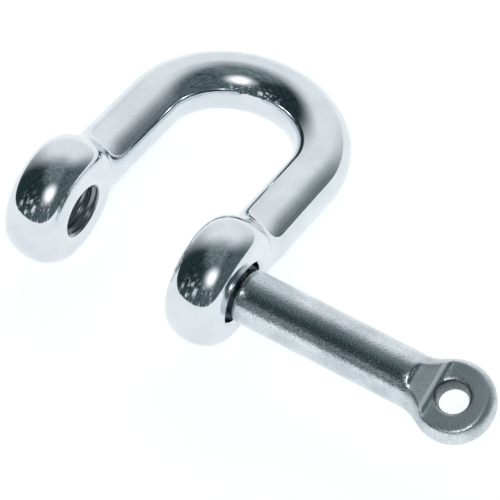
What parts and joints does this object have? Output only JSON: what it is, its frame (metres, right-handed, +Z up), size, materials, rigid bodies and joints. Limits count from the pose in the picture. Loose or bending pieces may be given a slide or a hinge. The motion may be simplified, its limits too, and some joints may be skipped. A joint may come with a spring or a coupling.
{
  "type": "dee shackle",
  "caption": "Stainless dee shackle: a round-bar bow with two drilled ears and a screw pin with a flat eye, drawn out of the far ear.",
  "frame": {"origin": "centre of the footprint, on the surface the shackle lies on", "axes": "+X along the pin from the far ear to its eye, +Y from the ears towards the crown of the bow, +Z up; the bow's plane leans 7.6 degrees down towards the crown, as it lies on both ears and the crown"},
  "size_m": [0.0682, 0.0478, 0.0174],
  "materials": {
    "polished_steel": "mirror-polished stainless steel",
    "tumbled_steel": "tumbled stainless steel, fine satin grain"
  },
  "bodies": {
    "bow": {"bow": "polished_steel"},
    "pin": {"screw_pin": "tumbled_steel"}
  },
  "joints": [
    {"name": "pin_slide", "type": "slide", "parent": "bow", "child": "pin", "axis": [-1, 0, 0], "range_m": [0, 0.0243]}
  ]
}
